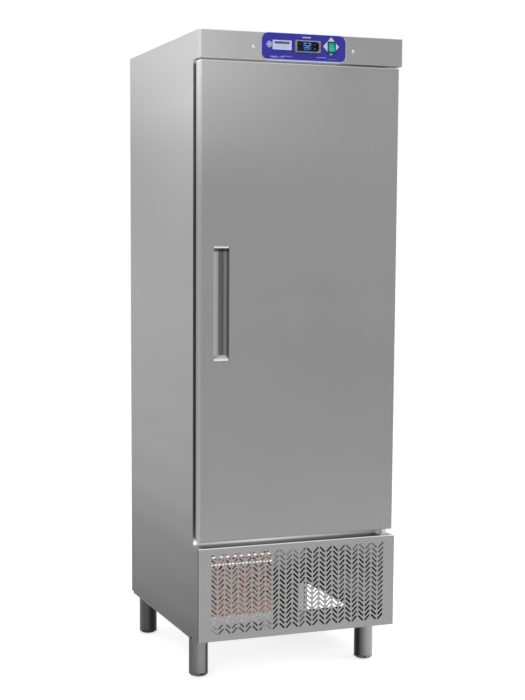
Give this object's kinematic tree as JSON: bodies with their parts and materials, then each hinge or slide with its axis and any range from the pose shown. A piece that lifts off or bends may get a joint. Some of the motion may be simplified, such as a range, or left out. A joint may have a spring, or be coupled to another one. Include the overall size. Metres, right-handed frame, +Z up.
{
  "type": "commercial upright freezer",
  "caption": "Tall stainless steel freezer cabinet with one right-hinged door, a recessed handle, a control head, a slotted grille and round legs",
  "frame": {"origin": "on the floor at the centre of the bounding box's bottom face", "axes": "+Z up, +X to the right when facing the door, +Y from the door to the back"},
  "size_m": [0.6, 0.642, 1.793],
  "materials": {
    "stainless_skin": "satin",
    "stainless_inner": "satin",
    "galvanised": "matte",
    "divider_paint": "matte",
    "foam": "matte",
    "overlay_blue": "gloss",
    "controller_grey": "matte",
    "display_black": "gloss",
    "key_black": "gloss",
    "switch_black": "satin",
    "rocker_green": "gloss",
    "screw_chrome": "polished",
    "leg_steel": "satin",
    "foot_plastic": "satin",
    "rubber_dark": "matte",
    "gland_black": "matte",
    "gasket_grey": "matte",
    "plastic_white": "satin",
    "bush_nylon": "satin",
    "cap_light": "gloss",
    "fin_copper": "satin",
    "copper_tube": "satin",
    "black_paint": "satin",
    "motor_aluminium": "matte",
    "fan_metal": "satin",
    "coil_aluminium": "satin",
    "shelf_coating": "satin"
  },
  "bodies": {
    "cabinet": {"left_side_panel": "stainless_skin", "right_side_panel": "stainless_skin", "top_panel": "stainless_skin", "head_fascia": "stainless_skin", "grille_panel": "stainless_skin", "lower_deck": "stainless_skin", "front_frame": "stainless_skin", "hinge_brackets": "stainless_skin", "inner_liner": "stainless_inner", "shelf_runners": "stainless_inner", "back_panel": "galvanised", "rear_vent_panel": "galvanised", "floor_plates": "galvanised", "base_rails": "galvanised", "unit_base_plate": "galvanised", "fascia_brackets": "galvanised", "air_divider": "divider_paint", "insulation_foam": "foam", "control_overlay": "overlay_blue", "controller_case": "controller_grey", "display_window": "display_black", "rocker_frame": "switch_black", "fascia_screws": "screw_chrome", "hinge_screws": "screw_chrome", "legs": "leg_steel", "rear_spacers": "rubber_dark", "cable_gland": "gland_black", "condenser_fins": "fin_copper", "condenser_tube": "copper_tube", "refrigerant_lines": "copper_tube", "fan_shroud": "black_paint", "compressor_shell": "black_paint", "compressor_cradle": "black_paint", "condenser_fan_motor": "motor_aluminium", "evaporator_fan_motor": "motor_aluminium", "evaporator_coil": "coil_aluminium", "evaporator_cover": "plastic_white", "shelf_1": "shelf_coating", "shelf_2": "shelf_coating", "shelf_3": "shelf_coating"},
    "door": {"door_skin": "stainless_skin", "door_frame": "plastic_white", "door_inner_panel": "stainless_inner", "door_foam": "foam", "door_gasket": "gasket_grey", "handle_channel": "stainless_skin", "handle_lip": "stainless_skin", "handle_end_caps": "cap_light", "hinge_bushes": "bush_nylon"},
    "rocker": {"rocker_button": "rocker_green"},
    "key_a": {"key_1": "key_black"},
    "key_b": {"key_2": "key_black"},
    "key_c": {"key_3": "key_black"},
    "key_d": {"key_4": "key_black"},
    "condenser_fan": {"condenser_fan_blade": "fan_metal"},
    "evaporator_fan": {"evaporator_fan_blade": "fan_metal"},
    "front_left_foot": {"foot_front_left": "foot_plastic"},
    "front_right_foot": {"foot_front_right": "foot_plastic"},
    "rear_left_foot": {"foot_rear_left": "foot_plastic"},
    "rear_right_foot": {"foot_rear_right": "foot_plastic"}
  },
  "joints": [
    {"name": "door_hinge", "type": "hinge", "parent": "cabinet", "child": "door", "pos_m": [0.275, -0.289, 0.408], "axis": [0, 0, 1], "range_deg": [0, 105]},
    {"name": "rocker_tilt", "type": "hinge", "parent": "cabinet", "child": "rocker", "pos_m": [0.082, -0.3115, 1.76], "axis": [1, 0, 0], "range_deg": [0, 24]},
    {"name": "key_a_press", "type": "slide", "parent": "cabinet", "child": "key_a", "axis": [0, 1, 0], "range_m": [0, 0.0008], "stiffness_N_per_m": 400},
    {"name": "key_b_press", "type": "slide", "parent": "cabinet", "child": "key_b", "axis": [0, 1, 0], "range_m": [0, 0.0008], "stiffness_N_per_m": 400},
    {"name": "key_c_press", "type": "slide", "parent": "cabinet", "child": "key_c", "axis": [0, 1, 0], "range_m": [0, 0.0008], "stiffness_N_per_m": 400},
    {"name": "key_d_press", "type": "slide", "parent": "cabinet", "child": "key_d", "axis": [0, 1, 0], "range_m": [0, 0.0008], "stiffness_N_per_m": 400},
    {"name": "condenser_fan_spin", "type": "hinge", "parent": "cabinet", "child": "condenser_fan", "pos_m": [-0.158, -0.185, 0.275], "axis": [0, 1, 0], "continuous": true},
    {"name": "evaporator_fan_spin", "type": "hinge", "parent": "cabinet", "child": "evaporator_fan", "pos_m": [0, -0.105, 1.587], "axis": [0, 1, 0], "continuous": true},
    {"name": "front_left_foot_screw", "type": "slide", "parent": "cabinet", "child": "front_left_foot", "axis": [0, 0, -1], "range_m": [0, 0.025]},
    {"name": "front_right_foot_screw", "type": "slide", "parent": "cabinet", "child": "front_right_foot", "axis": [0, 0, -1], "range_m": [0, 0.025]},
    {"name": "rear_left_foot_screw", "type": "slide", "parent": "cabinet", "child": "rear_left_foot", "axis": [0, 0, -1], "range_m": [0, 0.025]},
    {"name": "rear_right_foot_screw", "type": "slide", "parent": "cabinet", "child": "rear_right_foot", "axis": [0, 0, -1], "range_m": [0, 0.025]}
  ]
}
